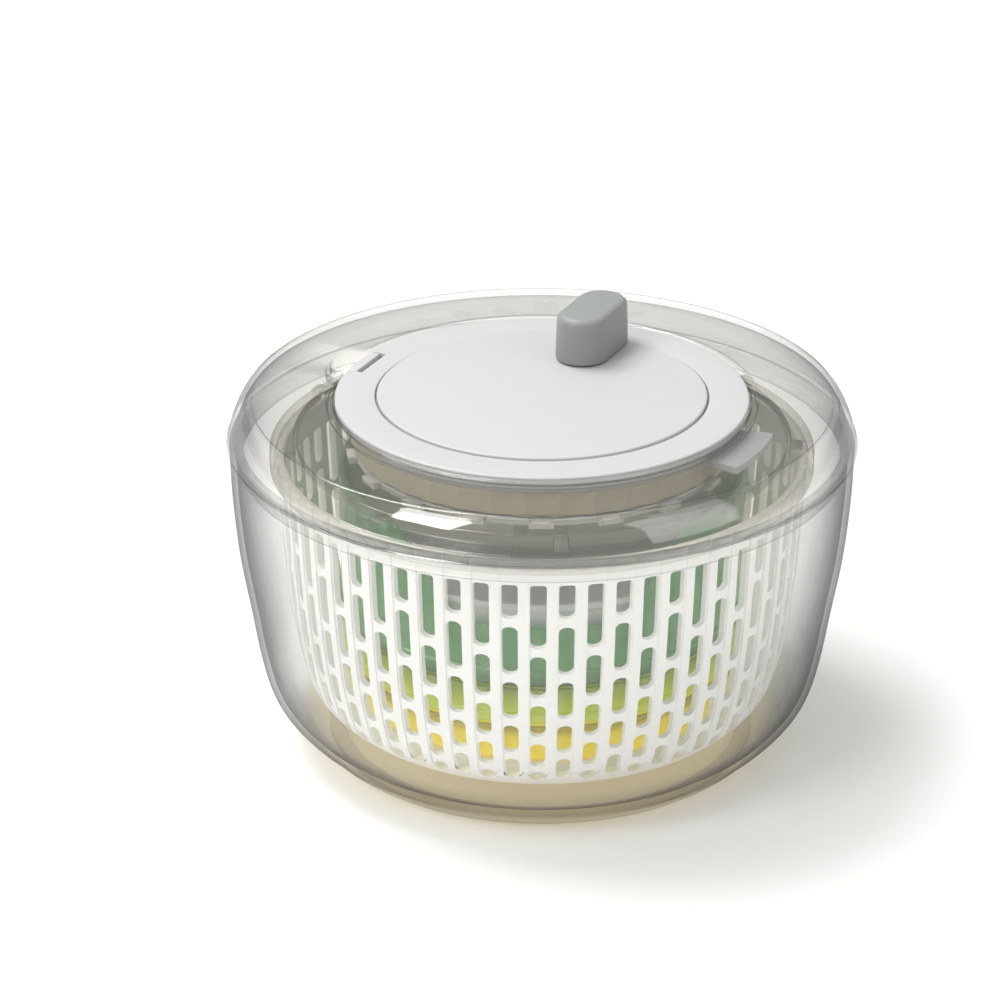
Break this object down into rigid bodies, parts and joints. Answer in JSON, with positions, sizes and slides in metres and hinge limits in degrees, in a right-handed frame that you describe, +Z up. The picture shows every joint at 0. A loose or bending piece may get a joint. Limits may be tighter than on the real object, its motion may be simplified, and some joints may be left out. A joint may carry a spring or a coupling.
{
  "type": "salad spinner",
  "caption": "Hand-cranked salad spinner: clear bowl, slotted basket holding nested cutters, clear lid, and a crank that drives the basket through planet gears.",
  "frame": {"origin": "middle of the underside, in the plane the spinner stands on", "axes": "+Z up, along the axis of the bowl, basket and crank; -Y to the front; +X to the right seen from the front"},
  "size_m": [0.2612, 0.2612, 0.1724],
  "materials": {
    "clear_plastic": "clear, polished",
    "milky_plastic": "milky, satin",
    "white_plastic": "satin",
    "pale_grey_plastic": "fine satin",
    "smoke_plastic": "smoky, clear",
    "knob_grey_plastic": "satin",
    "warm_grey_plastic": "satin",
    "yellow_plastic": "glossy",
    "lime_plastic": "glossy",
    "green_plastic": "glossy",
    "pale_rubber": "matt",
    "steel": "fine brushed",
    "bronze": "plain turned"
  },
  "bodies": {
    "bowl": {"bowl": "clear_plastic", "foot_ring": "pale_rubber"},
    "bearing": {"basket_bearing": "white_plastic"},
    "basket": {"basket": "milky_plastic", "drive_collar": "clear_plastic", "slicer_insert": "yellow_plastic", "slicer_blade": "steel", "grater_insert": "lime_plastic", "grater_plate": "steel", "spiral_insert": "green_plastic", "spiral_blade": "steel", "food_pusher": "smoke_plastic"},
    "lid": {"lid": "clear_plastic"},
    "drive_unit": {"gear_cover": "pale_grey_plastic", "gear_housing": "warm_grey_plastic", "housing_screw_1": "steel", "housing_screw_2": "steel", "housing_screw_3": "steel", "housing_screw_4": "steel", "planet_axle_1": "steel", "planet_axle_2": "steel", "planet_axle_3": "steel", "shaft_bush": "bronze", "thrust_washer": "steel", "latch_spring": "steel"},
    "crank": {"crank_disc": "pale_grey_plastic", "ring_gear": "white_plastic", "knob_pin": "steel", "knob_clip": "steel"},
    "knob": {"knob": "knob_grey_plastic"},
    "planet_1": {"planet_gear_1": "white_plastic"},
    "planet_2": {"planet_gear_2": "white_plastic"},
    "planet_3": {"planet_gear_3": "white_plastic"},
    "output": {"sun_gear": "white_plastic", "output_shaft": "white_plastic", "drive_rotor": "white_plastic", "rotor_screw": "steel"},
    "latch": {"release_latch": "pale_grey_plastic"}
  },
  "joints": [
    {"name": "basket_lift", "type": "slide", "parent": "bowl", "child": "bearing", "axis": [0, 0, 1], "range_m": [0, 0.14]},
    {"name": "basket_spin", "type": "hinge", "parent": "bearing", "child": "basket", "pos_m": [0, 0, 0.017], "axis": [0, 0, 1], "continuous": true},
    {"name": "lid_lift", "type": "slide", "parent": "bearing", "child": "lid", "axis": [0, 0, 1], "range_m": [0, 0.12]},
    {"name": "unit_tilt", "type": "hinge", "parent": "lid", "child": "drive_unit", "pos_m": [0.07735, -0.03689, 0.1515], "axis": [0.4305, 0.9026, 0], "range_deg": [0, 30]},
    {"name": "crank_spin", "type": "hinge", "parent": "drive_unit", "child": "crank", "pos_m": [0, 0, 0.1493], "axis": [0, 0, 1], "continuous": true},
    {"name": "knob_spin", "type": "hinge", "parent": "crank", "child": "knob", "pos_m": [0.02107, 0.04623, 0.1518], "axis": [0, 0, 1], "continuous": true},
    {"name": "planet_spin_1", "type": "hinge", "parent": "drive_unit", "child": "planet_1", "pos_m": [0.036, 0, 0.14], "axis": [0, 0, 1], "continuous": true},
    {"name": "planet_spin_2", "type": "hinge", "parent": "drive_unit", "child": "planet_2", "pos_m": [-0.018, 0.03118, 0.14], "axis": [0, 0, 1], "continuous": true},
    {"name": "planet_spin_3", "type": "hinge", "parent": "drive_unit", "child": "planet_3", "pos_m": [-0.018, -0.03118, 0.14], "axis": [0, 0, 1], "continuous": true},
    {"name": "output_spin", "type": "hinge", "parent": "drive_unit", "child": "output", "pos_m": [0, 0, 0.14], "axis": [0, 0, 1], "continuous": true},
    {"name": "latch_slide", "type": "slide", "parent": "drive_unit", "child": "latch", "axis": [0.9107, -0.4131, 0], "range_m": [0, 0.0024], "stiffness_N_per_m": 400, "deforming": ["latch_spring"]}
  ],
  "couplings": [
    {"joint": "planet_spin_1", "follows": "crank_spin", "ratio": 3},
    {"joint": "planet_spin_2", "follows": "crank_spin", "ratio": 3},
    {"joint": "planet_spin_3", "follows": "crank_spin", "ratio": 3},
    {"joint": "output_spin", "follows": "crank_spin", "ratio": -3},
    {"joint": "basket_spin", "follows": "crank_spin", "ratio": -3}
  ]
}
